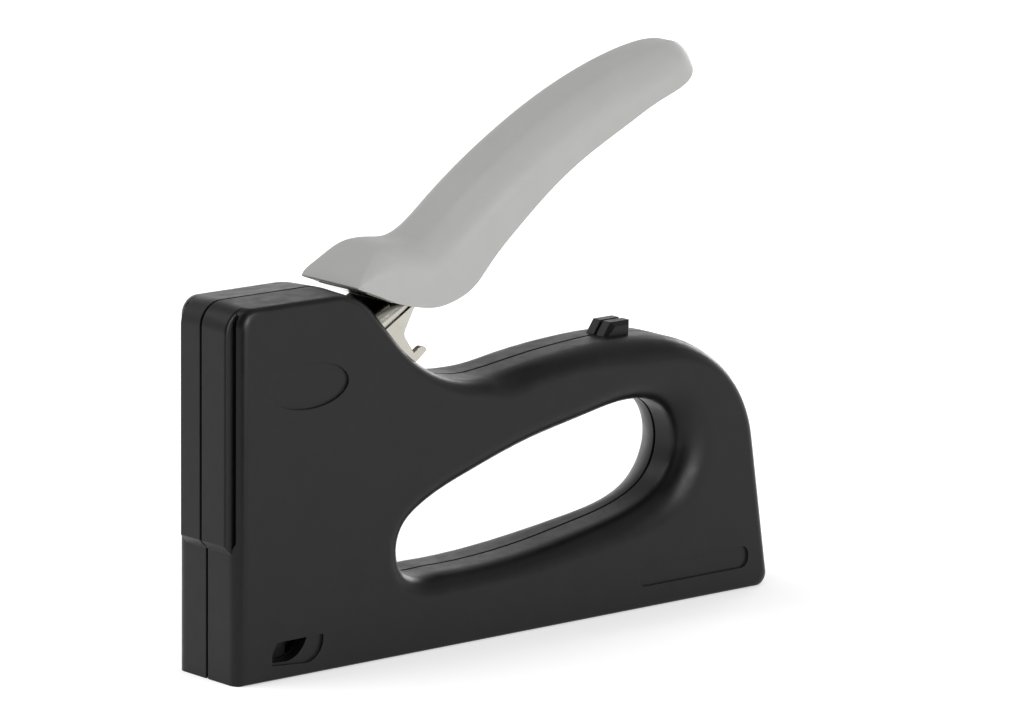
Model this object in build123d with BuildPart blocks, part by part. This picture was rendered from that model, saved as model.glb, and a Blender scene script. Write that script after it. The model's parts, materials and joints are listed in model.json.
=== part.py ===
from build123d import *
import os
from collections import namedtuple
from math import cos, radians, sin, sqrt

# Hand tacker in millimetres. X runs from the nose to the rear, Y to the tool's left, Z up.
# The origin is where staples leave the nose, on the base plane and on the parting plane.

# Casing
half_width = 12.0
wall = 2.4
inner_half = half_width - wall
nose_front = -5.0
nose_inside = -1.9
nose_height = 91.8
nose_ceiling = nose_height - wall
nose_corner_round = 3.2
nose_top_round = 4.5
nose_draft = 0.05
edge_round = 1.3
slope_edge_round = 3.0
valley_round = 4.6
grip_round = 6.5
rear_round = 3.0
base_round = 1.0
seam_half = 0.45
seam_depth = 1.2
casing_levels = (0.0, seam_half, 5.5, 6.8, 8.0, 9.0, 9.8, 10.5, 11.0, 11.4, 11.7, 11.9, half_width)

# Outline of the slope between the nose and the grip
slope_start = 24.5
slope_round = 17.0
slope_angle = 48.8
slope_length = 11.1
valley_end = (74.0, 64.55)
nose_heel = 35.0
slot_front = 32.5
slot_lip = 87.2
slot_rear = 58.0

# Outline of the grip and the rear
ring_start = 38.0
ring_front = 66.0
ring_shoulder = 52.0
base_rear = 166.5
heel_reach = 3.5
rear_knee = (160.4, 39.1)
crown_rear = (131.6, 67.6)
crown_top = (112.0, 68.5)
crown_bend = (85.0, 65.8)

# Finger hole: stations around its wall, going forwards along the roof. The wall is flat out to a distance
# from the parting plane, and from there widens by bulge up to the side of the casing. Fullness 2 is a round
# lip, as all around the right half, and nearer 1 is a bevelled one, as at the rear of the left half.
HoleStation = namedtuple("HoleStation", "x z right_bulge left_bulge left_flat left_fullness")
hole_stations = [
    HoleStation(x=62.0, z=17.8, right_bulge=5.5, left_bulge=5.5, left_flat=6.5, left_fullness=2.0),
    HoleStation(x=78.1, z=18.1, right_bulge=5.5, left_bulge=5.5, left_flat=6.2, left_fullness=2.0),
    HoleStation(x=94.1, z=19.7, right_bulge=5.9, left_bulge=5.7, left_flat=5.6, left_fullness=1.8),
    HoleStation(x=109.9, z=22.3, right_bulge=6.8, left_bulge=6.1, left_flat=4.0, left_fullness=1.65),
    HoleStation(x=125.6, z=26.1, right_bulge=8.2, left_bulge=6.5, left_flat=2.2, left_fullness=1.5),
    HoleStation(x=133.2, z=30.9, right_bulge=9.2, left_bulge=7.0, left_flat=1.0, left_fullness=1.4),
    HoleStation(x=136.8, z=39.2, right_bulge=9.4, left_bulge=7.3, left_flat=0.8, left_fullness=1.35),
    HoleStation(x=133.5, z=48.9, right_bulge=8.4, left_bulge=6.4, left_flat=2.0, left_fullness=1.65),
    HoleStation(x=124.0, z=52.6, right_bulge=6.6, left_bulge=5.5, left_flat=5.0, left_fullness=1.8),
    HoleStation(x=105.6, z=50.7, right_bulge=5.5, left_bulge=5.5, left_flat=6.5, left_fullness=2.0),
    HoleStation(x=87.4, z=47.1, right_bulge=5.5, left_bulge=5.5, left_flat=6.5, left_fullness=2.0),
    HoleStation(x=69.7, z=41.9, right_bulge=5.5, left_bulge=5.5, left_flat=6.5, left_fullness=2.0),
    HoleStation(x=52.5, z=35.0, right_bulge=5.5, left_bulge=5.5, left_flat=6.5, left_fullness=2.0),
    HoleStation(x=48.2, z=31.6, right_bulge=5.5, left_bulge=5.5, left_flat=6.5, left_fullness=2.0),
    HoleStation(x=46.2, z=26.5, right_bulge=5.5, left_bulge=5.5, left_flat=6.5, left_fullness=2.0),
    HoleStation(x=48.1, z=20.4, right_bulge=5.5, left_bulge=5.5, left_flat=6.5, left_fullness=2.0),
    HoleStation(x=53.9, z=17.8, right_bulge=5.5, left_bulge=5.5, left_flat=6.5, left_fullness=2.0),
]
right_flat = 6.5
round_lip = 2.0
hole_levels = (0.0, seam_half, 1.4, 2.8, 4.2, 5.4, 6.6, 7.8, 8.9, 9.9, 10.7, 11.3, 11.7, 11.9, half_width)
hole_past = 1.0

# Raised spine down the front of the nose, with a groove along each side
spine_proud = 1.9
spine_edge_round = 0.6
spine_round_steps = (1.0, 0.6, 0.3, 0.1, 0.0)
spine_right = 9.4
spine_left = 8.1
spine_foot = 32.0
spine_bevel = 2.2
spine_top_round = 6.0
spine_groove_width = 1.05
spine_groove_floor = -3.5
spine_groove_foot = 33.2
spine_groove_slant = 1.7

# Stop lug on the grip
lug_front = 116.5
lug_top_front = 118.9
lug_rear = 125.0
lug_half = 4.2
lug_bevel = 1.0
lug_seam = 0.6
lug_top = 71.9
lug_sunk = 66.0

# Bare oval recess, bare label recess and staple window
oval_centre = (16.5, 70.6)
oval_length = 24.0
oval_height = 11.2
oval_depth = 0.6
label_low = (121.5, 5.6)
label_high = (158.3, 11.2)
label_round = 2.4
window_outline = [(16.4, 9.4), (6.8, 9.3), (5.3, 6.4), (5.5, 4.4), (10.0, 4.1)]
window_bow = (14.2, 5.8)
scoop_outline = [(20.9, 9.4), (6.8, 9.3), (5.3, 6.4), (5.3, 3.8), (16.0, 3.0)]
scoop_bow = (19.9, 5.2)
scoop_depth = 0.7

# Hollows in the casing
cavity_rear = 41.5
cavity_heel = 44.0
cavity_knee = (56.0, 57.0)
cavity_step = 62.0
magazine_half = 8.4
magazine_height = 12.8
grip_pocket = [(80.0, 51.5), (80.0, 60.0), (112.0, 63.0), (126.0, 62.5), (126.0, 57.2), (104.0, 55.2)]
rear_pocket = [(147.0, 26.0), (147.0, 44.0), (153.0, 44.0), (157.0, 26.0)]
pocket_half = 9.0
catch_pocket_front = 138.0
catch_pocket_rear = 161.6
catch_pocket_half = 3.2
catch_pocket_top = 15.8
clear = 0.1

# Casing screws, driven from the left side
screw_places = [(21.0, 24.0), (15.3, 86.3), (73.0, 55.5), (141.5, 56.5), (151.0, 20.5)]
boss_places = screw_places[:2]
boss_radius = 3.5
screw_radius = 1.5
screw_head_radius = 2.5
screw_head_height = 2.0
screw_seat = 6.5
screw_tip = -7.5
screw_slot = 0.9
head_hole_radius = 2.7

# Nose plate, driver blade and hammer
blade_thick = 1.2
blade_half = 6.4
blade_top = 56.0
plate_thick = 1.1
plate_half = 8.0
plate_top = 43.0
shelf_low = 34.0
bumper_low = 38.0
hammer_low = 44.0
hammer_shoulder = 58.0
hammer_top = 70.5
hammer_half = 6.4
hammer_front = blade_thick / 2
hammer_step = 10.2
hammer_rear = 17.4
tail_half = 4.5
shelf_front = 1.2
guide_rear = 7.3
guide_gap = 0.3
guide_top = 75.0
rivet_radius = 1.5
rivet_depth = 7.0
rivet_heights = (48.0, 53.0)

# Main spring above the hammer
spring_x = 4.6
spring_radius = 5.2
spring_bore = 3.6
spring_top = 86.6
seat_radius = 5.8
seat_spigot_radius = 3.2
seat_spigot_length = 4.0

# Lever, turning on a pin across the casing
pivot_x = 35.0
pivot_z = 72.0
pivot_radius = 2.5
pivot_reach = 11.0
running_gap = 0.05
sleeve_radius = 4.0
lever_rise = 27.0
lever_half = 9.2
lever_thick = 1.5
lever_bend = 3.6
web_top = 9.6
web_front = 7.0
web_rear = 52.0
strip_top = (9.85, 16.1)
strip_foot = (15.45, 9.65)
strip_thick = 0.8
fold_groove = [(8.0, 4.3), (19.4, 5.05), (19.4, 5.9), (8.0, 5.15)]
fold_depth = 0.5
plate_end_low = 6.0
plate_tuck = (24.0, 5.4)
plate_rim = (19.8, 4.2)
plate_neck = (15.2, 1.0)
plate_waist = (14.5, 0.05)
plate_back = (14.4, -1.1)
hook_root = (15.0, -5.6)
hook_tip = (16.9, -5.4)
hook_bow = (18.35, -6.0)
hook_heel = (18.6, -7.2)
hook_low = (14.7, -7.9)
pivot_front = 0.0
pivot_cheek = 8.0
lift_arm = 22.0
lift_below = 15.0
lift_radius = 1.5
lift_play = 0.3
return_spring_radius = 5.6
return_spring_half = 4.5

# Handle cover: stations along the lever, with its lower rim, crown and half width there
Station = namedtuple("Station", "along lower upper half")
handle_stations = [
    Station(along=6.6, lower=18.9, upper=19.3, half=10.8),
    Station(along=8.4, lower=16.9, upper=20.1, half=11.3),
    Station(along=11.0, lower=13.9, upper=20.7, half=11.4),
    Station(along=14.5, lower=9.7, upper=21.4, half=11.5),
    Station(along=18.4, lower=6.1, upper=21.9, half=11.6),
    Station(along=24.2, lower=2.0, upper=19.8, half=11.7),
    Station(along=29.5, lower=0.2, upper=16.7, half=11.7),
    Station(along=36.0, lower=-0.3, upper=15.9, half=11.6),
    Station(along=43.7, lower=2.0, upper=17.2, half=11.5),
    Station(along=55.0, lower=5.0, upper=19.2, half=11.5),
    Station(along=68.0, lower=7.6, upper=20.5, half=11.6),
    Station(along=81.0, lower=8.7, upper=21.0, half=11.6),
    Station(along=95.3, lower=8.4, upper=20.4, half=11.5),
    Station(along=108.0, lower=7.6, upper=18.8, half=11.0),
    Station(along=116.0, lower=6.1, upper=17.1, half=9.8),
    Station(along=122.0, lower=5.8, upper=14.9, half=7.6),
    Station(along=125.4, lower=7.2, upper=11.6, half=3.4),
]
crown_round = 7.5
crown_first_round = 0.3
crown_growth = 0.48
crown_share_of_half = 0.7
crown_share_of_height = 0.8
handle_skin = 5.0
hollow_half = 9.5
hollow_first, hollow_last = 4, 14
hollow_start = (14.4, 11.0)
hollow_open = -12.0
handle_screw_places = (38.0, 47.0)
handle_screw_reach = 13.4
handle_boss_radius = 3.4
handle_head_radius = 3.0
handle_head_height = 1.8

# Magazine: fixed channel, and a drawer with its rail, knob, rod and pusher
channel_front = 0.8
channel_rear = 155.0
channel_half = 8.2
channel_thick = 0.8
channel_low = 0.4
channel_top = 12.6
rail_front = 1.0
rail_rear = 157.0
rail_half = 5.3
rail_thick = 0.8
rail_low = 0.6
rail_top = 10.2
knob_front = 155.4
knob_half = 8.1
knob_low = 0.3
knob_top = 12.5
knob_notch_radius = 6.0
knob_notch_depth = 3.0
detent_x = 159.0
detent_radius = 1.4
knob_notch_x = 161.5
knob_rivet_x = 156.2
knob_rivet_z = 8.2
knob_rivet_radius = 1.0
rod_radius = 1.0
rod_z = 5.4
rod_rear = 159.0
pusher_front = 1.1
pusher_rear = 13.0
pusher_half = 7.1
pusher_inner = 5.6
pusher_low = 2.0
pusher_deck = 10.5
pusher_top = 11.5
tongue_front = 2.4
tongue_rear = 11.0
tongue_half = 3.4
tongue_low = 2.6
coil_radius = 2.6
coil_bore = 1.3
catch_half = 2.5
catch_thick = 0.5
catch_front = 139.0
catch_clamp = 146.0
catch_ramp = 157.0
catch_rear = 161.2
catch_lift = 0.9


def block(low, high, mode=Mode.ADD):
    """A box between two opposite corners."""
    middle = [(a + b) / 2 for a, b in zip(low, high)]
    size = [b - a for a, b in zip(low, high)]
    with Locations(tuple(middle)):
        Box(*size, mode=mode)


def cross_rod(x, z, radius, y_from, y_to, mode=Mode.ADD):
    """A cylinder along Y."""
    with Locations(Location((x, (y_from + y_to) / 2, z), (90, 0, 0))):
        Cylinder(radius, abs(y_to - y_from), mode=mode)


def long_rod(y, z, radius, x_from, x_to, mode=Mode.ADD):
    """A cylinder along X."""
    with Locations(Location(((x_from + x_to) / 2, y, z), (0, 90, 0))):
        Cylinder(radius, abs(x_to - x_from), mode=mode)


def side_slab(points, half, mode=Mode.ADD, plane=Plane.XZ):
    """A straight-sided outline on the side plane, thickened to both sides."""
    with BuildSketch(plane) as outline:
        with BuildLine():
            Polyline(*points, close=True)
        make_face()
    extrude(outline.sketch, amount=half, both=True, mode=mode)


def bowed_cut(points, bow, plane, depth, both=False):
    """Cut away an outline that is closed from its last point to its first by a bow."""
    with BuildSketch(plane) as outline:
        with BuildLine():
            straight_sides = Polyline(*points)
            ThreePointArc(straight_sides @ 1, bow, straight_sides @ 0)
        make_face()
    extrude(outline.sketch, amount=depth, both=both, mode=Mode.SUBTRACT)


def finish(builder, name):
    """Label a finished piece and write it."""
    builder.part.label = name
    export_step(builder.part, f"parts/{name}.step")


os.makedirs("parts", exist_ok=True)

# Directions of the lever and handle at rest
rise_cos = cos(radians(lever_rise))
rise_sin = sin(radians(lever_rise))
lever_plane = Plane(origin=(pivot_x, 0, pivot_z), x_dir=(rise_cos, 0, rise_sin), z_dir=(0, -1, 0))
lift_x = pivot_x - lift_arm * cos(radians(lift_below))
lift_z = pivot_z - lift_arm * sin(radians(lift_below))
lift_point = lever_plane.to_local_coords(Vector(lift_x, 0, lift_z))
lift_end_radius = web_top - lift_point.Y


def hole_growth(level, bulge, flat, fullness):
    """How far the finger hole has widened at a distance from the parting plane."""
    if level == 0:
        return seam_depth
    share = max(0.0, min(1.0, (level - flat) / (half_width - flat)))
    return bulge * (1 - (1 - share ** fullness) ** (1 / fullness))


def hole_outline(level, right_half):
    """Points around the finger hole in one half, at a distance from the parting plane."""
    points = []
    for i, station in enumerate(hole_stations):
        before = hole_stations[i - 1]
        after = hole_stations[(i + 1) % len(hole_stations)]
        along = Vector(after.x - before.x, after.z - before.z).normalized()
        outwards = Vector(along.Y, -along.X)
        growth = hole_growth(level, station.left_bulge, station.left_flat, station.left_fullness)
        if right_half:
            growth = hole_growth(level, station.right_bulge, right_flat, round_lip)
        points.append(Vector(station.x, station.z) + outwards * growth)
    return points


def inset(level, radius, half=half_width):
    """How far an outline lies in, for the seam or a rounded edge, at a distance from the parting plane."""
    if level == 0:
        return seam_depth
    depth = min(radius, level - half + radius)
    return radius - sqrt(radius * radius - depth * depth) if depth > 0 else 0.0


# Space of the finger hole, from the parting plane out to both sides
with BuildPart() as finger_hole:
    for side, right_half in ((1, True), (-1, False)):
        for level in hole_levels + (half_width + hole_past,):
            with BuildSketch(Plane.XZ.offset(side * level)):
                with BuildLine():
                    Spline(*hole_outline(level, right_half), periodic=True)
                make_face()
        loft(ruled=True)

# Grip, rear and lower rail around the finger hole, both halves in one
rear_lean = Vector(rear_knee[0] - base_rear, rear_knee[1]).normalized()
with BuildPart() as grip_ring:
    for level in casing_levels:
        low = inset(level, base_round)
        back = Vector(-inset(level, rear_round), 0)
        top = Vector(0, -inset(level, grip_round))
        dip = Vector(0, -inset(level, valley_round))
        heel = Vector(base_rear, low) + back
        with BuildSketch(Plane.XZ.offset(-level)):
            with BuildLine():
                base_line = Line((ring_start, low), heel - Vector(heel_reach, 0))
                heel_arc = TangentArc(base_line @ 1, heel + rear_lean * heel_reach, tangent=base_line % 1)
                rear_line = Line(heel_arc @ 1, Vector(*rear_knee) + back)
                rear_arc = TangentArc(rear_line @ 1, Vector(*crown_rear) + top, tangent=rear_line % 1)
                crown_arc = TangentArc(rear_arc @ 1, Vector(*crown_top) + top, tangent=rear_arc % 1)
                grip_arc = TangentArc(crown_arc @ 1, Vector(*crown_bend) + top, tangent=crown_arc % 1)
                dip_arc = TangentArc(grip_arc @ 1, Vector(*valley_end) + dip, tangent=grip_arc % 1)
                shoulder_points = [(ring_front, ring_shoulder), (ring_start, ring_shoulder)]
                Polyline(dip_arc @ 1, *shoulder_points, base_line @ 0)
            make_face()
    loft(ruled=True)
    mirror(about=Plane.XZ)
    add(finger_hole.part, mode=Mode.SUBTRACT)

# Nose, with the slope down to the valley in front of the grip
slope_way = Vector(cos(radians(slope_angle)), -sin(radians(slope_angle)))
slope_inwards = Vector(slope_way.Y, -slope_way.X)
shoulder_end = Vector(slope_start, nose_height - slope_round) - slope_inwards * slope_round
slope_end = shoulder_end + slope_way * slope_length
with BuildPart() as nose_block:
    for level in casing_levels:
        low = inset(level, base_round)
        front = nose_front + inset(level, nose_corner_round)
        fall = nose_draft * level + inset(level, edge_round)
        top = nose_height - fall
        valley_point = Vector(*valley_end) - Vector(0, inset(level, valley_round))
        with BuildSketch(Plane.XZ.offset(-level)):
            with BuildLine():
                front_line = Line((front, low), (front, top - nose_top_round))
                corner_arc = JernArc(front_line @ 1, (0, 1), nose_top_round, -90)
                top_line = Line(corner_arc @ 1, (slope_start, top))
                slope_inset = slope_inwards * inset(level, slope_edge_round)
                shoulder = TangentArc(top_line @ 1, shoulder_end + slope_inset, tangent=top_line % 1)
                slope_foot = slope_end + slope_inset
                slope_line = Line(shoulder @ 1, slope_foot)
                valley = TangentArc(slope_line @ 1, valley_point, tangent=slope_line % 1)
                shoulder_points = [(valley_end[0], ring_shoulder), (ring_front, ring_shoulder)]
                heel_points = [(cavity_rear, nose_heel), (cavity_rear, low)]
                Polyline(valley @ 1, *shoulder_points, *heel_points, front_line @ 0)
            make_face()
    loft(ruled=True)
    mirror(about=Plane.XZ)

# Raised spine on the front of the nose, wider on the right half
with BuildPart() as spine:
    for side, half in ((1, spine_right), (-1, spine_left)):
        for level in (0.0, seam_half, *[half - spine_edge_round * step for step in spine_round_steps]):
            set_in = inset(level, spine_edge_round, half)
            front = nose_front - spine_proud + set_in
            top = nose_height - nose_draft * level - set_in
            with BuildSketch(Plane.XZ.offset(side * level)):
                with BuildLine():
                    spine_line = Line((front, spine_foot + spine_bevel), (front, top - spine_top_round))
                    spine_arc = JernArc(spine_line @ 1, (0, 1), spine_top_round, -90)
                    arc_end = spine_arc @ 1
                    Polyline(arc_end, (arc_end.X, spine_foot), (nose_front, spine_foot), spine_line @ 0)
                make_face()
        loft(ruled=True)

# Stop lug on the grip
with BuildPart() as lug:
    for level in (0.0, lug_seam, lug_half - lug_bevel, lug_half):
        set_in = inset(level, lug_bevel, lug_half)
        front, rear = lug_front + set_in, lug_rear - set_in
        top = lug_top - set_in
        with BuildSketch(Plane.XZ.offset(-level)):
            with BuildLine():
                Polyline((front, lug_sunk), (front, crown_top[1]), (lug_top_front + set_in, top),
                         (rear, top), (rear, lug_sunk), close=True)
            make_face()
    loft(ruled=True)
    mirror(about=Plane.XZ)

# Spine with its grooves, lug and recesses on the outside of both halves
with BuildPart() as body_form:
    add(grip_ring.part)
    add(nose_block.part)
    add(spine.part)
    add(lug.part)
    for inner_edge, way in ((-spine_right, -1), (spine_left, 1)):
        outer_edge = inner_edge + way * spine_groove_width
        groove_points = [(inner_edge, spine_groove_foot), (inner_edge, nose_height),
                         (outer_edge, nose_height), (outer_edge, spine_groove_foot + spine_groove_slant)]
        with BuildSketch(Plane.YZ.offset(spine_groove_floor)):
            with BuildLine():
                Polyline(*groove_points, close=True)
            make_face()
        extrude(amount=nose_front - spine_proud - spine_groove_floor, mode=Mode.SUBTRACT)
    label_middle = ((label_low[0] + label_high[0]) / 2, (label_low[1] + label_high[1]) / 2)
    for side in (1, -1):
        outer_face = Plane.XZ.offset(side * half_width)
        with BuildSketch(outer_face):
            with Locations(oval_centre):
                Ellipse(oval_length / 2, oval_height / 2)
            with Locations(label_middle):
                RectangleRounded(label_high[0] - label_low[0], label_high[1] - label_low[1], label_round)
        extrude(amount=-side * oval_depth, mode=Mode.SUBTRACT)
        bowed_cut(scoop_outline, scoop_bow, outer_face, -side * scoop_depth)
    bowed_cut(window_outline, window_bow, Plane.XZ, half_width, both=True)

# Hollows, ribs and bosses inside both halves
with BuildPart() as hollow_body:
    add(body_form.part)
    cavity_outline = [(nose_inside, magazine_height), (nose_inside, nose_ceiling),
                      (slope_start, nose_ceiling), (slot_front, slot_lip),
                      (slot_front, nose_height + wall), (slot_rear, nose_height + wall),
                      (slot_rear, cavity_step), cavity_knee, (cavity_rear, cavity_heel),
                      (cavity_rear, magazine_height)]
    side_slab(cavity_outline, inner_half, mode=Mode.SUBTRACT)
    magazine_end = base_rear + wall
    block((nose_inside, -magazine_half, -clear), (magazine_end, magazine_half, magazine_height),
          Mode.SUBTRACT)
    side_slab(grip_pocket, pocket_half, mode=Mode.SUBTRACT)
    side_slab(rear_pocket, pocket_half, mode=Mode.SUBTRACT)
    block((catch_pocket_front, -catch_pocket_half, magazine_height - clear),
          (catch_pocket_rear, catch_pocket_half, catch_pocket_top), Mode.SUBTRACT)
    block((shelf_front, -inner_half, shelf_low), (hammer_rear, inner_half, bumper_low))
    for side in (1, -1):
        near, far = sorted((side * (hammer_half + guide_gap), side * inner_half))
        block((shelf_front, near, bumper_low), (guide_rear, far, guide_top))
    for x, z in boss_places:
        cross_rod(x, z, boss_radius, -inner_half, inner_half)
    for x, z in screw_places:
        cross_rod(x, z, head_hole_radius, screw_seat, half_width + clear, Mode.SUBTRACT)
        cross_rod(x, z, screw_radius + running_gap, screw_tip - clear, screw_seat, Mode.SUBTRACT)
    pin_room = pivot_reach + clear
    cross_rod(pivot_x, pivot_z, pivot_radius + running_gap, -pin_room, pin_room, Mode.SUBTRACT)

with BuildPart() as right_body_shell:
    add(hollow_body.part)
    split(bisect_by=Plane.XZ, keep=Keep.TOP)
finish(right_body_shell, "right_body_shell")

with BuildPart() as left_body_shell:
    add(hollow_body.part)
    split(bisect_by=Plane.XZ, keep=Keep.BOTTOM)
finish(left_body_shell, "left_body_shell")

with BuildPart() as body_screws:
    for x, z in screw_places:
        cross_rod(x, z, screw_head_radius, screw_seat, screw_seat + screw_head_height)
        cross_rod(x, z, screw_radius, screw_tip, screw_seat)
        slot_low = (x - screw_head_radius, screw_seat + screw_head_height - screw_slot, z - screw_slot / 2)
        slot_high = (x + screw_head_radius, screw_seat + screw_head_height + clear, z + screw_slot / 2)
        block(slot_low, slot_high, Mode.SUBTRACT)
finish(body_screws, "body_screws")

with BuildPart() as nose_plate:
    block((nose_inside, -plate_half, 0), (nose_inside + plate_thick, plate_half, plate_top))
finish(nose_plate, "nose_plate")

with BuildPart() as magazine_channel:
    block((channel_front, -channel_half, channel_low), (channel_rear, channel_half, channel_top))
    inside = channel_half - channel_thick
    ceiling = channel_top - channel_thick
    block((channel_front, -inside, channel_low), (channel_rear, inside, ceiling), Mode.SUBTRACT)
    bowed_cut(window_outline, window_bow, Plane.XZ, half_width, both=True)
finish(magazine_channel, "magazine_channel")

with BuildPart() as lever_pivot_pin:
    cross_rod(pivot_x, pivot_z, pivot_radius, -pivot_reach, pivot_reach)
    chamfer(edges().filter_by(GeomType.CIRCLE), edge_round / 2)
finish(lever_pivot_pin, "lever_pivot_pin")

with BuildPart() as pivot_sleeve:
    sleeve_half = lever_half - lever_thick - clear
    cross_rod(pivot_x, pivot_z, sleeve_radius, -sleeve_half, sleeve_half)
    cross_rod(pivot_x, pivot_z, pivot_radius + running_gap, -sleeve_half, sleeve_half, Mode.SUBTRACT)
finish(pivot_sleeve, "pivot_sleeve")

with BuildPart() as striker_bumper:
    block((shelf_front, -hammer_half, bumper_low + clear), (hammer_rear, hammer_half, hammer_low - clear))
    fillet(edges().filter_by(Axis.Z), edge_round)
finish(striker_bumper, "striker_bumper")

with BuildPart() as spring_seat:
    with Locations((spring_x, 0, (spring_top + nose_ceiling) / 2)):
        Cylinder(seat_radius, nose_ceiling - spring_top)
    with Locations((spring_x, 0, spring_top - seat_spigot_length / 2)):
        Cylinder(seat_spigot_radius, seat_spigot_length)
finish(spring_seat, "spring_seat")

with BuildPart() as main_spring:
    with Locations((spring_x, 0, (hammer_shoulder + spring_top) / 2)):
        Cylinder(spring_radius, spring_top - hammer_shoulder)
        Cylinder(spring_bore, spring_top - hammer_shoulder, mode=Mode.SUBTRACT)
finish(main_spring, "main_spring")

# Lever pressed from sheet: two side plates with a groove below the bend, joined by a web, and a strip let in
# under the handle's front edge
strip_way = (Vector(*strip_foot) - Vector(*strip_top)).normalized()
strip_drop = Vector(strip_way.Y, -strip_way.X) * strip_thick
strip_outline = [strip_top, strip_foot, Vector(*strip_foot) + strip_drop, Vector(*strip_top) + strip_drop]
with BuildPart() as lever_channel:
    with BuildSketch(lever_plane):
        with BuildLine():
            end_low = (lift_point.X, lift_point.Y - lift_end_radius)
            nose_arc = ThreePointArc(end_low, (lift_point.X - lift_end_radius, lift_point.Y),
                                     (lift_point.X, lift_point.Y + lift_end_radius))
            Polyline(nose_arc @ 1, (web_rear, web_top), (web_rear, plate_end_low), plate_tuck, plate_rim)
            neck_line = Line(plate_rim, plate_neck)
            waist_arc = ThreePointArc(neck_line @ 1, plate_waist, plate_back)
            back_line = Line(waist_arc @ 1, hook_root)
            tip_line = Line(back_line @ 1, hook_tip)
            hook_arc = ThreePointArc(tip_line @ 1, hook_bow, hook_heel)
            Polyline(hook_arc @ 1, hook_low, (pivot_front, -pivot_cheek), end_low)
        make_face()
    extrude(amount=lever_half, both=True)
    for side in (1, -1):
        web_start = lever_plane.from_local_coords(Vector(web_front, 0, 0))
        with BuildSketch(Plane(origin=web_start, x_dir=(0, 1, 0), z_dir=lever_plane.x_dir)):
            with BuildLine():
                bend_x = side * (lever_half - lever_bend)
                bend_out = side * (lever_half + clear)
                bend_low = web_top - lever_bend
                bend_arc = CenterArc((bend_x, bend_low), lever_bend, 0 if side > 0 else 90, 90)
                low_end, high_end = sorted((bend_arc @ 0, bend_arc @ 1), key=lambda v: v.Y)
                outer_corner = [(bend_x, web_top + clear), (bend_out, web_top + clear), (bend_out, bend_low)]
                Polyline(high_end, *outer_corner, low_end)
            make_face()
        extrude(amount=web_rear - web_front + clear, mode=Mode.SUBTRACT)
    inner = lever_half - lever_thick
    plate_clear = lift_point.X - 2 * lift_end_radius
    below_web = [(plate_clear, web_top - lever_thick), (web_rear + clear, web_top - lever_thick),
                 (web_rear + clear, hollow_open), (plate_clear, hollow_open)]
    side_slab(below_web, inner, Mode.SUBTRACT, lever_plane)
    ahead_of_web = [(plate_clear, web_top + wall), (web_front, web_top + wall),
                    (web_front, hollow_open), (plate_clear, hollow_open)]
    side_slab(ahead_of_web, inner, Mode.SUBTRACT, lever_plane)
    side_slab(strip_outline, lever_half, Mode.ADD, lever_plane)
    for side in (1, -1):
        side_slab(fold_groove, fold_depth, Mode.SUBTRACT, lever_plane.offset(side * lever_half))
    cross_rod(pivot_x, pivot_z, pivot_radius + running_gap, -half_width, half_width, Mode.SUBTRACT)
    cross_rod(lift_x, lift_z, lift_radius, -half_width, half_width, Mode.SUBTRACT)
    for along in handle_screw_places:
        with Locations(lever_plane * Location((along, web_top, 0), (90, 0, 0))):
            Cylinder(screw_radius + running_gap, 4 * lever_thick, mode=Mode.SUBTRACT)
finish(lever_channel, "lever_channel")

with BuildPart() as lift_pin:
    cross_rod(lift_x, lift_z, lift_radius, -lever_half, lever_half)
finish(lift_pin, "lift_pin")

# Handle cover, open underneath
with BuildPart() as handle_grip:
    for station in handle_stations:
        along_point = lever_plane.from_local_coords(Vector(station.along, 0, 0))
        section = Plane(origin=along_point, x_dir=(0, 1, 0), z_dir=lever_plane.x_dir)
        height = station.upper - station.lower
        corner = min(crown_round, crown_share_of_half * station.half, crown_share_of_height * height,
                     crown_first_round + crown_growth * (station.along - handle_stations[0].along))
        with BuildSketch(section):
            with BuildLine():
                rim_line = Line((-station.half, station.lower), (station.half, station.lower))
                left_side = Line(rim_line @ 1, (station.half, station.upper - corner))
                left_arc = JernArc(left_side @ 1, (0, 1), corner, 90)
                top_side = Line(left_arc @ 1, (-station.half + corner, station.upper))
                right_arc = JernArc(top_side @ 1, (-1, 0), corner, 90)
                Line(right_arc @ 1, rim_line @ 0)
            make_face()
    loft()
    roof = [hollow_start]
    roof += [(s.along, s.upper - handle_skin) for s in handle_stations[hollow_first:hollow_last]]
    roof += [(roof[-1][0], hollow_open), (hollow_start[0], hollow_open)]
    side_slab(roof, hollow_half, Mode.SUBTRACT, lever_plane)
    side_slab(strip_outline, lever_half + clear, Mode.SUBTRACT, lever_plane)
    for along in handle_screw_places:
        boss_top = handle_screw_reach + wall / 2
        with Locations(lever_plane * Location((along, (web_top + boss_top) / 2, 0), (90, 0, 0))):
            Cylinder(handle_boss_radius, boss_top - web_top)
        with Locations(lever_plane * Location((along, (web_top + handle_screw_reach) / 2, 0), (90, 0, 0))):
            Cylinder(screw_radius + running_gap, handle_screw_reach - web_top + clear, mode=Mode.SUBTRACT)
finish(handle_grip, "handle_grip")

with BuildPart() as handle_screws:
    head_low = web_top - lever_thick - handle_head_height
    for along in handle_screw_places:
        with Locations(lever_plane * Location((along, head_low + handle_head_height / 2, 0), (90, 0, 0))):
            Cylinder(handle_head_radius, handle_head_height)
        with Locations(lever_plane * Location((along, (head_low + handle_screw_reach) / 2, 0), (90, 0, 0))):
            Cylinder(screw_radius, handle_screw_reach - head_low)
finish(handle_screws, "handle_screws")

# Return spring around the pivot sleeve, drawn as a plain ring
with BuildPart() as lever_return_spring:
    cross_rod(pivot_x, pivot_z, return_spring_radius, -return_spring_half, return_spring_half)
    coil_inside = sleeve_radius + lift_play
    cross_rod(pivot_x, pivot_z, coil_inside, -return_spring_half, return_spring_half, Mode.SUBTRACT)
finish(lever_return_spring, "lever_return_spring")

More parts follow.
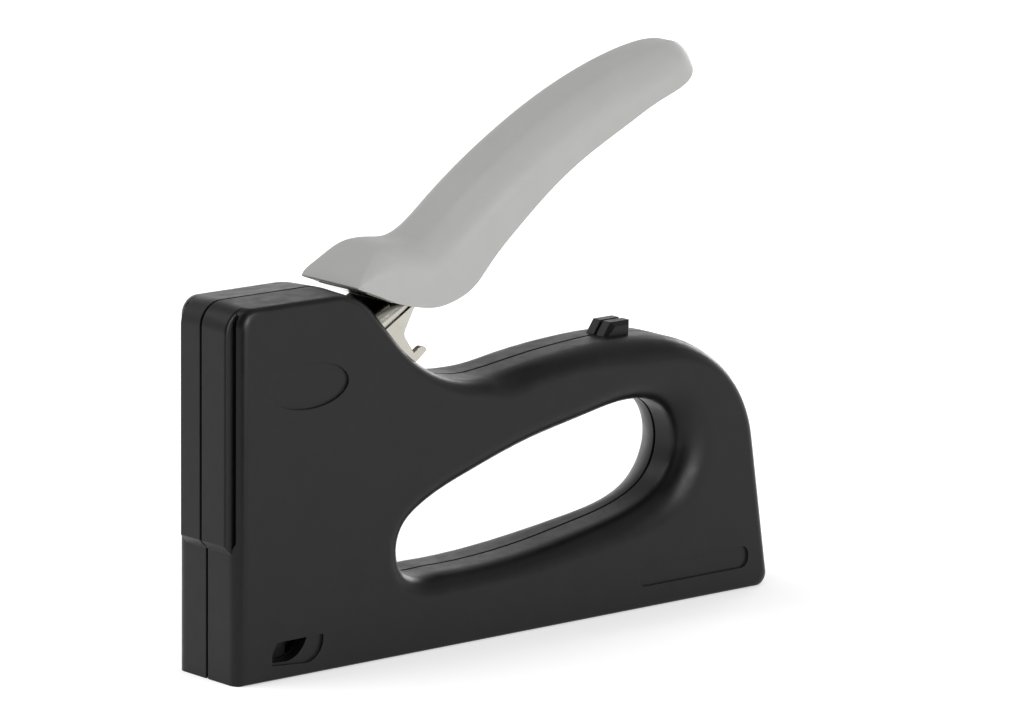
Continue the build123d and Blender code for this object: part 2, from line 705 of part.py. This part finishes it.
with BuildPart() as hammer:
    hammer_outline = [(hammer_front, hammer_low), (hammer_rear, hammer_low),
                      (hammer_rear, hammer_top), (hammer_step, hammer_top),
                      (hammer_step, hammer_shoulder), (hammer_front, hammer_shoulder)]
    side_slab(hammer_outline, hammer_half)
    for side in (1, -1):
        near, far = sorted((side * tail_half, side * (hammer_half + clear)))
        tail_end = (hammer_rear + clear, far, hammer_top + clear)
        block((hammer_step, near, hammer_shoulder), tail_end, Mode.SUBTRACT)
    swing = lift_arm * (1 - cos(radians(lift_below)))
    slot_half = lift_radius + lift_play
    block((lift_x - swing - slot_half, -tail_half, lift_z - slot_half),
          (lift_x + slot_half, tail_half, lift_z + slot_half), Mode.SUBTRACT)
    for z in rivet_heights:
        long_rod(0, z, rivet_radius, hammer_front, hammer_front + rivet_depth, Mode.SUBTRACT)
finish(hammer, "hammer")

with BuildPart() as driver_blade:
    block((-blade_thick / 2, -blade_half, 0), (blade_thick / 2, blade_half, blade_top))
    for z in rivet_heights:
        long_rod(0, z, rivet_radius, -blade_thick, blade_thick, Mode.SUBTRACT)
finish(driver_blade, "driver_blade")

with BuildPart() as blade_rivets:
    for z in rivet_heights:
        long_rod(0, z, rivet_radius, -blade_thick / 2, hammer_front + rivet_depth)
finish(blade_rivets, "blade_rivets")

# Magazine drawer
with BuildPart() as staple_rail:
    block((rail_front, -rail_half, rail_low), (rail_rear, rail_half, rail_top))
    inside = rail_half - rail_thick
    trough_low = (rail_front + rail_thick, -inside, rail_low + rail_thick)
    block(trough_low, (rail_rear + clear, inside, rail_top + clear), Mode.SUBTRACT)
    long_rod(0, rod_z, rod_radius, rail_front - clear, rail_front + 2 * rail_thick, Mode.SUBTRACT)
    for side in (1, -1):
        cross_rod(knob_rivet_x, knob_rivet_z, knob_rivet_radius, 0, side * half_width, Mode.SUBTRACT)
finish(staple_rail, "staple_rail")

with BuildPart() as magazine_knob:
    knob_lean = (base_rear - rear_knee[0]) / rear_knee[1]
    knob_outline = [(knob_front, knob_low), (base_rear - clear - knob_lean * knob_low, knob_low),
                    (base_rear - clear - knob_lean * knob_top, knob_top), (knob_front, knob_top)]
    side_slab(knob_outline, knob_half)
    knob_edges = edges().filter_by(lambda e: e.center().X > rod_rear + wall)
    fillet(knob_edges.filter_by(lambda e: abs(e.center().Y) > pusher_half), edge_round)
    cross_rod(detent_x, knob_top, detent_radius, -knob_half, knob_half, Mode.SUBTRACT)
    cross_rod(knob_notch_x, knob_low + knob_notch_depth - knob_notch_radius, knob_notch_radius,
              -knob_half, knob_half, Mode.SUBTRACT)
    rail_socket = rail_half + clear
    socket_low = (knob_front - clear, -rail_socket, knob_low - clear)
    block(socket_low, (rail_rear, rail_socket, rail_top + clear), Mode.SUBTRACT)
    trough_half = rail_half - rail_thick
    block((knob_front, -trough_half, rail_low + rail_thick), (rail_rear, trough_half, rail_top))
    cross_rod(knob_rivet_x, knob_rivet_z, knob_rivet_radius, -half_width, half_width, Mode.SUBTRACT)
    long_rod(0, rod_z, rod_radius, knob_front - clear, rod_rear, Mode.SUBTRACT)
finish(magazine_knob, "magazine_knob")

with BuildPart() as knob_rivets:
    for side in (1, -1):
        cross_rod(knob_rivet_x, knob_rivet_z, knob_rivet_radius, side * tongue_half, side * rail_half)
finish(knob_rivets, "knob_rivets")

with BuildPart() as guide_rod:
    long_rod(0, rod_z, rod_radius, rail_front, rod_rear)
finish(guide_rod, "guide_rod")

with BuildPart() as staple_pusher:
    block((pusher_front, -pusher_half, pusher_low), (pusher_rear, pusher_half, pusher_top))
    block((pusher_front, -pusher_inner, pusher_low), (pusher_rear, pusher_inner, pusher_deck), Mode.SUBTRACT)
    block((tongue_front, -tongue_half, tongue_low), (tongue_rear, tongue_half, pusher_deck))
    long_rod(0, rod_z, rod_radius + running_gap, pusher_front - clear, pusher_rear + clear, Mode.SUBTRACT)
finish(staple_pusher, "staple_pusher")

with BuildPart() as pusher_spring:
    long_rod(0, rod_z, coil_radius, tongue_rear, knob_front)
    long_rod(0, rod_z, coil_bore, tongue_rear, knob_front, Mode.SUBTRACT)
finish(pusher_spring, "pusher_spring")

# Leaf spring above the knob, with a crest over the knob's groove
with BuildPart() as catch_spring:
    strip_low = catch_pocket_top - catch_thick
    crest_low = knob_top + clear
    upper_edge = [(catch_front, catch_pocket_top), (catch_clamp, catch_pocket_top),
                  (catch_ramp, crest_low + catch_lift + catch_thick), (detent_x, crest_low + catch_thick),
                  (catch_rear, crest_low + catch_lift + catch_thick)]
    lower_edge = [(catch_rear, crest_low + catch_lift), (detent_x, crest_low),
                  (catch_ramp, crest_low + catch_lift), (catch_clamp, strip_low), (catch_front, strip_low)]
    side_slab(upper_edge + lower_edge, catch_half)
finish(catch_spring, "catch_spring")
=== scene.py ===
import bpy
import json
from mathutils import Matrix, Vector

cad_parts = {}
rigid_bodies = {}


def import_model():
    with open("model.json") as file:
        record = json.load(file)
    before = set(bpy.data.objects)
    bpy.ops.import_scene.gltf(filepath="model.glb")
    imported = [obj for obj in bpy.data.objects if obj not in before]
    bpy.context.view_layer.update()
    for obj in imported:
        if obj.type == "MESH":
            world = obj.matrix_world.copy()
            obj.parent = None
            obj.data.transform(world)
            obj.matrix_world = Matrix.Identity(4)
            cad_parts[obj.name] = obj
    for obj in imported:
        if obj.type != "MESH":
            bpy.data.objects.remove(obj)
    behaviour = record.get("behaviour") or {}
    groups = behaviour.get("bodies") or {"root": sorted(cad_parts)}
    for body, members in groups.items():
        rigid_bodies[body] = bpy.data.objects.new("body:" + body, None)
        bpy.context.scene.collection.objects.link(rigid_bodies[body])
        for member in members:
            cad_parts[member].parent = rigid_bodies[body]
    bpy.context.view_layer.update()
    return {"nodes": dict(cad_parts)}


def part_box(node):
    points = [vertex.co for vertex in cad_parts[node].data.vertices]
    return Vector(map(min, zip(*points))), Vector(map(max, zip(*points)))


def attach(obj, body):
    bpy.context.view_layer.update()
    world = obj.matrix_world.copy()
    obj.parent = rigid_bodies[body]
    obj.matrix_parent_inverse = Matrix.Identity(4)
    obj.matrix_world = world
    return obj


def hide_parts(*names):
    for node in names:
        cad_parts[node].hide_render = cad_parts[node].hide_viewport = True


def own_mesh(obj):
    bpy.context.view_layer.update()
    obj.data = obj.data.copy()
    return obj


for leftover in list(bpy.data.objects):
    bpy.data.objects.remove(leftover)
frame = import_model()

import json
from math import cos, pi, radians, sin

from mathutils import Matrix, Vector

MM = 0.001

# Roundings are drawn smooth where neighbouring bands meet at less than this angle
CREASE = radians(24)
WELD_REACH = 0.002 * MM
MOULDED_NODES = ("right_body_shell", "left_body_shell", "handle_grip")

# All finishes: the range that most noise lies in, and the samples for rounded edges and for the painted shade
# in hollows
NOISE_LOW = 0.3
NOISE_HIGH = 0.7
BEVEL_SAMPLES = 4
HOLLOW_SAMPLES = 8

# Moulded plastic: lengths in metres, patterns in grains to the metre
PLASTIC_EDGE = 0.25 * MM
PLASTIC_CLOUDS = 140
PLASTIC_CLOUD_LOW = 0.35
PLASTIC_CLOUD_HIGH = 0.65
PLASTIC_GRAIN = 2600
PLASTIC_GRAIN_DEPTH = 0.012 * MM
PLASTIC_GRAIN_STRENGTH = 0.6
PLASTIC_GLOSS = 320
PLASTIC_SMOOTHER = 0.05
PLASTIC_ROUGHER = 0.06
EDGE_WORN = 0.86
EDGE_FLAT = 0.99

# Plated sheet: lengths in metres, patterns in grains to the metre
METAL_EDGE = 0.2 * MM
METAL_LINES = 900
METAL_LINE_DEPTH = 0.001 * MM
METAL_LINE_STRENGTH = 0.5
METAL_CLOUDS = 210
METAL_SMOOTHER = 0.75
METAL_ROUGHER = 1.35
# Painted shade: plated sheet is darkened where other surfaces lie within this reach
PAINTED_SHADE_REACH = 12 * MM
PAINTED_SHADE_DARKNESS = 0.12
PAINTED_SHADE_START = 0.2
PAINTED_SHADE_END = 0.45

# Wound springs: steps to a turn, sides of the wire, closed turns at each end, and each spring's wire and
# turns
TURN_STEPS = 20
WIRE_SIDES = 8
CLOSED_TURNS = 1.0
MAIN_WIRE = 1.6 * MM
MAIN_TURNS = 9
PUSHER_WIRE = 0.7 * MM
PUSHER_TURNS = 46
RETURN_WIRE = 1.2 * MM
RETURN_TURNS = 6.5

# Photograph's view: the camera turns left of the side view, looks down a little and stands far off
IMAGE_WIDTH = 1024
FOCAL_PIXELS = 7000
SENSOR = 36
CLIP_END = 100
VIEW_TURN = radians(40.43)
VIEW_DROP = radians(11.81)
VIEW_ROLL = radians(0.53)
VIEW_DISTANCE = 1710 * MM
VIEW_CENTRE = Vector((75, 0, 60)) * MM
VIEW_SHIFT = Vector((-11.30, -6.82)) * MM

# Room: white, and in mirrors dimmer overhead and away from the backdrop, with a dark gap at the camera
WORLD_LIGHT = 0.55
ROOM_DIM = 0.45
BACKDROP_WAY = Vector((0.65, 0.76, 0))
BACKDROP_EDGE = 0.7
CEILING_START = radians(14)
CEILING_END = radians(36)
CEILING_DIM = 0.45
GAP_TURN = radians(8)
GAP_HALF = radians(17)
GAP_EDGE = radians(12)
GAP_LIGHT = 0.03

# Lamps: a sun from the front left, a softbox on the right and a rim light at the rear right
KEY_STRENGTH = 1.1
KEY_ANGLE = radians(50)
KEY_TURN = radians(-35)
KEY_TILT = radians(42)
BOX_DISTANCE = 1.2
BOX_WAY = Vector((0.1, -0.97, 0.15))
BOX_SIZE = 0.45
BOX_WATTS = 6.5
RIM_WAY = Vector((0.89, 0.36, 0.24))
RIM_SIZE = 0.5
RIM_WATTS = 3.0

# Floor: a disc with a notch towards the camera
FLOOR_SIZE = 6.0
FLOOR_CORNERS = 24
FLOOR_FRONT = 0.15
FLOOR_DROP = 0.05 * MM
FLOOR_COLOUR = 0.85
FLOOR_WHITENING = 0.44


def link_object(name, data):
    """A new object in the scene."""
    obj = bpy.data.objects.new(name, data)
    bpy.context.scene.collection.objects.link(obj)
    return obj


class NodeTree:
    """Shader nodes that are set and linked by their sockets."""

    def __init__(self, tree):
        self.nodes = tree.nodes
        self.links = tree.links

    def feed(self, socket, value):
        """Set a socket to a value, or link it to another node's output."""
        if isinstance(value, bpy.types.NodeSocket):
            self.links.new(value, socket)
        else:
            socket.default_value = value

    def put(self, kind, inputs=None, **settings):
        """A node with its settings, and with its inputs fed."""
        node = self.nodes.new(kind)
        for name, value in settings.items():
            setattr(node, name, value)
        for socket, value in (inputs or {}).items():
            self.feed(node.inputs[socket], value)
        return node

    def ramp(self, value, start, end, low, high, smooth=False):
        """A number that goes from low to high as value goes from start to end."""
        inputs = {"Value": value, "From Min": start, "From Max": end, "To Min": low, "To Max": high}
        kind = "SMOOTHSTEP" if smooth else "LINEAR"
        return self.put("ShaderNodeMapRange", inputs, interpolation_type=kind).outputs["Result"]

    def dot(self, one, other):
        """How far two directions agree."""
        return self.put("ShaderNodeVectorMath", {0: one, 1: other}, operation="DOT_PRODUCT").outputs["Value"]

    def mix(self, share, one, other, blend="MIX"):
        """Two colours, mixed."""
        node = self.put("ShaderNodeMix", {0: share, 6: one, 7: other}, data_type="RGBA", blend_type=blend)
        return node.outputs[2]

    def highest(self, *flags):
        """The highest of several flags."""
        result = flags[0]
        for flag in flags[1:]:
            result = self.put("ShaderNodeMath", {0: result, 1: flag}, operation="MAXIMUM").outputs[0]
        return result


class Finish(NodeTree):
    """A procedural material, built around its surface shader."""

    def __init__(self, name, sockets):
        self.material = bpy.data.materials.new(name + "_finish")
        self.material.use_nodes = True
        super().__init__(self.material.node_tree)
        self.shader = self.nodes["Principled BSDF"]
        self.shade(sockets)

    def shade(self, sockets):
        """Feed the surface shader's sockets."""
        for socket, value in sockets.items():
            self.feed(self.shader.inputs[socket], value)

    def noise(self, per_metre, detail, roughness=0.55, stretch=(1, 1, 1)):
        """A noise pattern with so many grains to the metre, drawn out along an axis of small stretch."""
        place = self.put("ShaderNodeTexCoord").outputs["Object"]
        place = self.put("ShaderNodeMapping", {"Vector": place, "Scale": stretch}).outputs["Vector"]
        inputs = {"Vector": place, "Scale": per_metre, "Detail": detail, "Roughness": roughness}
        return self.put("ShaderNodeTexNoise", inputs).outputs["Fac"]

    def spread(self, pattern, low, high):
        """A noise pattern's values, spread between two numbers."""
        return self.ramp(pattern, NOISE_LOW, NOISE_HIGH, low, high)

    def tint(self, pattern, start, dark, end, light):
        """A pattern turned into colours between a dark and a light one."""
        ramp = self.put("ShaderNodeValToRGB", {"Fac": pattern})
        for element, place, colour in zip(ramp.color_ramp.elements, (start, end), (dark, light)):
            element.position = place
            element.color = (*colour, 1)
        return ramp.outputs["Color"]

    def rounded(self, radius):
        """The surface's normal, rounded near edges."""
        return self.put("ShaderNodeBevel", {"Radius": radius}, samples=BEVEL_SAMPLES).outputs["Normal"]

    def wear(self, rounded):
        """A mask that is 0 on flats and 1 on edges, told apart by the rounded normal."""
        straight = self.put("ShaderNodeNewGeometry").outputs["Normal"]
        return self.ramp(self.dot(rounded, straight), EDGE_WORN, EDGE_FLAT, 1.0, 0.0)

    def add_painted_shade(self, colour):
        """A colour darkened where other surfaces are near: painted shade, found by ambient occlusion."""
        hollow = self.put("ShaderNodeAmbientOcclusion", {"Distance": PAINTED_SHADE_REACH}, samples=HOLLOW_SAMPLES)
        shade_factor = self.ramp(hollow.outputs["AO"], PAINTED_SHADE_START, PAINTED_SHADE_END, PAINTED_SHADE_DARKNESS, 1.0)
        return self.mix(1.0, colour, shade_factor, "MULTIPLY")

    def bumps(self, pattern, depth, strength, normal):
        """A normal raised by a pattern, to a depth in metres."""
        inputs = {"Strength": strength, "Distance": depth, "Height": pattern, "Normal": normal}
        return self.put("ShaderNodeBump", inputs).outputs["Normal"]


def moulded_plastic(name, dark, light, edge, rough, specular):
    """Satin plastic: a fine moulded grain, faint clouds, a patchy gloss and edges that are rubbed lighter."""
    finish = Finish(name, {"Specular IOR Level": specular})
    normal = finish.rounded(PLASTIC_EDGE)
    clouds = finish.noise(PLASTIC_CLOUDS, detail=4)
    body = finish.tint(clouds, PLASTIC_CLOUD_LOW, dark, PLASTIC_CLOUD_HIGH, light)
    grain = finish.noise(PLASTIC_GRAIN, detail=2, roughness=0.6)
    gloss = finish.noise(PLASTIC_GLOSS, detail=3)
    finish.shade({
        "Base Color": finish.mix(finish.wear(normal), body, (*edge, 1)),
        "Roughness": finish.spread(gloss, rough - PLASTIC_SMOOTHER, rough + PLASTIC_ROUGHER),
        "Normal": finish.bumps(grain, PLASTIC_GRAIN_DEPTH, PLASTIC_GRAIN_STRENGTH, normal),
    })
    return finish.material


def plated_metal(name, dark, light, rough, stretch):
    """Rolled and plated sheet: fine drawn lines, a cloudy gloss and painted shade in its hollows."""
    finish = Finish(name, {"Metallic": 1.0})
    normal = finish.rounded(METAL_EDGE)
    lines = finish.noise(METAL_LINES, detail=4, roughness=0.7, stretch=stretch)
    clouds = finish.noise(METAL_CLOUDS, detail=4)
    finish.shade({
        # Base colour with painted shade in hollows
        "Base Color": finish.add_painted_shade(finish.tint(clouds, NOISE_LOW, dark, NOISE_HIGH, light)),
        "Roughness": finish.spread(lines, rough * METAL_SMOOTHER, rough * METAL_ROUGHER),
        "Normal": finish.bumps(lines, METAL_LINE_DEPTH, METAL_LINE_STRENGTH, normal),
    })
    return finish.material


def finishes():
    """One material for each of the record's slots."""
    plastics = {
        "casing_plastic": dict(
            dark=(0.0062, 0.0062, 0.0063), light=(0.0074, 0.0074, 0.0075), edge=(0.012, 0.012, 0.0122),
            rough=0.34, specular=0.22),
        "handle_plastic": dict(
            dark=(0.402, 0.406, 0.39), light=(0.412, 0.415, 0.4), edge=(0.44, 0.44, 0.43),
            rough=0.46, specular=0.35),
        "inner_plastic": dict(
            dark=(0.55, 0.54, 0.5), light=(0.62, 0.61, 0.57), edge=(0.68, 0.67, 0.64),
            rough=0.48, specular=0.3),
        "bumper_rubber": dict(
            dark=(0.014, 0.013, 0.013), light=(0.022, 0.021, 0.02), edge=(0.03, 0.03, 0.03),
            rough=0.75, specular=0.3),
    }
    metals = {
        "plated_steel": dict(
            dark=(0.43, 0.417, 0.37), light=(0.47, 0.457, 0.408), rough=0.14, stretch=(0.06, 1, 1)),
        "fastener_steel": dict(
            dark=(0.5, 0.49, 0.46), light=(0.62, 0.61, 0.58), rough=0.3, stretch=(1, 0.1, 1)),
        "dark_steel": dict(
            dark=(0.16, 0.155, 0.15), light=(0.24, 0.235, 0.225), rough=0.38, stretch=(1, 1, 0.08)),
        "spring_steel": dict(
            dark=(0.3, 0.3, 0.29), light=(0.42, 0.41, 0.4), rough=0.3, stretch=(0.1, 1, 1)),
    }
    materials = {name: moulded_plastic(name, **look) for name, look in plastics.items()}
    materials.update({name: plated_metal(name, **look) for name, look in metals.items()})
    return materials


def smooth_bands(obj):
    """Let light run evenly over the narrow bands that make up a rounded edge."""
    weld = obj.modifiers.new("weld", "WELD")
    weld.merge_threshold = WELD_REACH
    creases = obj.modifiers.new("creases", "EDGE_SPLIT")
    creases.split_angle = CREASE
    normals = obj.modifiers.new("normals", "WEIGHTED_NORMAL")
    normals.keep_sharp = False


def dress_frame(materials):
    """Give each CAD piece the finish of its own slot, and the moulded ones even roundings."""
    for obj in frame["nodes"].values():
        slot = obj.material_slots[0]
        slot.material = materials[slot.material.name]
    for name in MOULDED_NODES:
        smooth_bands(frame["nodes"][name])


def wound_along(turn, turns, span, wire):
    """How far a winding has gone along its axis after some turns, with its end turns lying close."""
    tight = wire * CLOSED_TURNS
    if turn < CLOSED_TURNS:
        return turn * wire
    if turn > turns - CLOSED_TURNS:
        return span - (turns - turn) * wire
    return tight + (turn - CLOSED_TURNS) * (span - 2 * tight) / (turns - 2 * CLOSED_TURNS)


def coil(name, start, end, width, wire, turns):
    """A wound spring from one end to the other along a main axis, with an outer width."""
    start = Vector(start)
    end = Vector(end)
    axis = (end - start).normalized()
    side = axis.orthogonal().normalized()
    other = axis.cross(side)
    span = (end - start).length - wire
    steps = round(turns * TURN_STEPS)
    vertices = []
    for step in range(steps + 1):
        turn = step / TURN_STEPS
        angle = 2 * pi * turn
        out = side * cos(angle) + other * sin(angle)
        along = wire / 2 + wound_along(turn, turns, span, wire)
        centre = start + axis * along + out * (width - wire) / 2
        for i in range(WIRE_SIDES):
            section = 2 * pi * i / WIRE_SIDES
            vertices.append(centre + (out * cos(section) + axis * sin(section)) * wire / 2)
    faces = [tuple(range(WIRE_SIDES))]
    for step in range(steps):
        for i in range(WIRE_SIDES):
            here = step * WIRE_SIDES + i
            beside = step * WIRE_SIDES + (i + 1) % WIRE_SIDES
            faces.append((here, here + WIRE_SIDES, beside + WIRE_SIDES, beside))
    faces.append(tuple(reversed(range(steps * WIRE_SIDES, (steps + 1) * WIRE_SIDES))))
    mesh = bpy.data.meshes.new(name)
    mesh.from_pydata(vertices, [], faces)
    mesh.validate()
    mesh.polygons.foreach_set("use_smooth", [True] * len(mesh.polygons))
    return link_object(name, mesh)


def add_main_spring():
    """The spring over the hammer, drawn as a fixed coil that moves with the casing."""
    low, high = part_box("main_spring")
    centre = (low + high) / 2
    spring = coil("main_spring_coil", (centre.x, 0, low.z), (centre.x, 0, high.z),
                  high.x - low.x, MAIN_WIRE, MAIN_TURNS)
    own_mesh(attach(spring, "casing"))
    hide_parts("main_spring")
    return spring


def add_pusher_spring():
    """The spring behind the pusher, drawn as a fixed coil that moves with the drawer."""
    low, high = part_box("pusher_spring")
    centre = (low + high) / 2
    spring = coil("pusher_spring_coil", (high.x, 0, centre.z), (low.x, 0, centre.z),
                  high.z - low.z, PUSHER_WIRE, PUSHER_TURNS)
    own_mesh(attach(spring, "drawer"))
    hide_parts("pusher_spring")
    return spring


def add_return_spring():
    """The spring on the lever's pivot."""
    low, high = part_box("lever_return_spring")
    centre = (low + high) / 2
    spring = coil("lever_return_coil", (centre.x, low.y, centre.z), (centre.x, high.y, centre.z),
                  high.x - low.x, RETURN_WIRE, RETURN_TURNS)
    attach(spring, "casing")
    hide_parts("lever_return_spring")
    return spring


def add_springs(materials):
    """Wound springs in the room of the plain ones."""
    for spring in (add_main_spring(), add_pusher_spring(), add_return_spring()):
        spring.data.materials.append(materials["spring_steel"])


def around(turn, rise=0):
    """A direction turned to the right of the camera's place as seen from the object, and raised."""
    turn -= VIEW_TURN
    return Vector((sin(turn) * cos(rise), -cos(turn) * cos(rise), sin(rise)))


def add_camera():
    """The camera where the photograph was taken."""
    back = around(0, VIEW_DROP)
    level = around(pi / 2)
    up = back.cross(level)
    right = level * cos(VIEW_ROLL) + up * sin(VIEW_ROLL)
    up = up * cos(VIEW_ROLL) - level * sin(VIEW_ROLL)
    data = bpy.data.cameras.new("camera")
    data.sensor_width = SENSOR
    data.lens = FOCAL_PIXELS / IMAGE_WIDTH * SENSOR
    data.clip_end = CLIP_END
    camera = link_object("camera", data)
    eye = VIEW_CENTRE + back * VIEW_DISTANCE - right * VIEW_SHIFT.x - up * VIEW_SHIFT.y
    camera.matrix_world = Matrix.Translation(eye) @ Matrix((right, up, back)).transposed().to_4x4()
    bpy.context.scene.camera = camera


def add_room():
    """White surroundings, and what mirrors show of them."""
    world = bpy.data.worlds.new("surroundings")
    world.use_nodes = True
    bpy.context.scene.world = world
    room = NodeTree(world.node_tree)
    looking = room.put("ShaderNodeTexCoord").outputs["Generated"]
    flat = room.put("ShaderNodeVectorMath", {0: looking, 1: (1, 1, 0)}, operation="MULTIPLY")
    level = room.put("ShaderNodeVectorMath", {0: flat.outputs["Vector"]}, operation="NORMALIZE")
    height = room.put("ShaderNodeSeparateXYZ", {"Vector": looking}).outputs["Z"]

    to_backdrop = room.dot(looking, BACKDROP_WAY.normalized())
    walls = room.ramp(to_backdrop, -BACKDROP_EDGE, BACKDROP_EDGE, ROOM_DIM, 1.0, smooth=True)
    ceiling = room.ramp(height, sin(CEILING_START), sin(CEILING_END), walls, CEILING_DIM, smooth=True)
    to_gap = room.dot(level.outputs["Vector"], around(GAP_TURN))
    gap = room.ramp(to_gap, cos(GAP_HALF + GAP_EDGE), cos(GAP_HALF), ceiling, GAP_LIGHT, smooth=True)

    path = room.put("ShaderNodeLightPath").outputs
    mirrored = room.highest(path["Is Glossy Ray"], path["Is Transmission Ray"])
    light = room.ramp(mirrored, 0, 1, WORLD_LIGHT, gap)
    backdrop = room.nodes["Background"].inputs
    room.feed(backdrop["Color"], (1, 1, 1, 1))
    room.feed(backdrop["Strength"], room.ramp(path["Is Camera Ray"], 0, 1, light, 1.0))


def add_softbox(name, way, size, watts):
    """A square lamp that looks at the object from a direction."""
    box = bpy.data.lights.new(name, "AREA")
    box.energy = watts
    box.size = size
    lamp = link_object(name, box)
    lamp.location = VIEW_CENTRE + way.normalized() * BOX_DISTANCE
    lamp.rotation_euler = way.to_track_quat("Z", "Y").to_euler()


def add_lamps():
    """A broad key light from the front left and above, and softboxes on the right and at the rear right."""
    key = bpy.data.lights.new("key", "SUN")
    key.energy = KEY_STRENGTH
    key.angle = KEY_ANGLE
    lamp = link_object("key", key)
    lamp.rotation_euler = (0, -KEY_TILT, KEY_TURN)
    add_softbox("softbox", BOX_WAY, BOX_SIZE, BOX_WATTS)
    add_softbox("rim_light", RIM_WAY, RIM_SIZE, RIM_WATTS)


def add_floor():
    """A pale floor that shows white, with the object's shadow on it, and open where the camera stands."""
    foot = Vector((VIEW_CENTRE.x, VIEW_CENTRE.y, -FLOOR_DROP))
    rim = [foot + around(GAP_TURN) * FLOOR_FRONT]
    for step in range(FLOOR_CORNERS + 1):
        share = step / FLOOR_CORNERS
        rim.append(foot + around(GAP_TURN + GAP_HALF + share * (2 * pi - 2 * GAP_HALF)) * FLOOR_SIZE)
    mesh = bpy.data.meshes.new("floor")
    mesh.from_pydata(rim, [], [tuple(range(len(rim)))])
    pale = Finish("pale_floor", {"Roughness": 1.0, "Specular IOR Level": 0.0, "Emission Color": (1, 1, 1, 1)})
    path = pale.put("ShaderNodeLightPath").outputs
    seen = pale.highest(path["Is Camera Ray"], path["Is Glossy Ray"], path["Is Transmission Ray"])
    pale.shade({
        "Base Color": (FLOOR_COLOUR, FLOOR_COLOUR, FLOOR_COLOUR, 1),
        "Emission Strength": pale.ramp(seen, 0, 1, 0.0, FLOOR_WHITENING),
    })
    mesh.materials.append(pale.material)
    link_object("floor", mesh)


def main():
    """Dress the frame, and set up the studio around it."""
    materials = finishes()
    dress_frame(materials)
    add_springs(materials)
    add_camera()
    add_room()
    add_lamps()
    add_floor()
    bpy.context.scene.view_settings.view_transform = "Standard"


main()
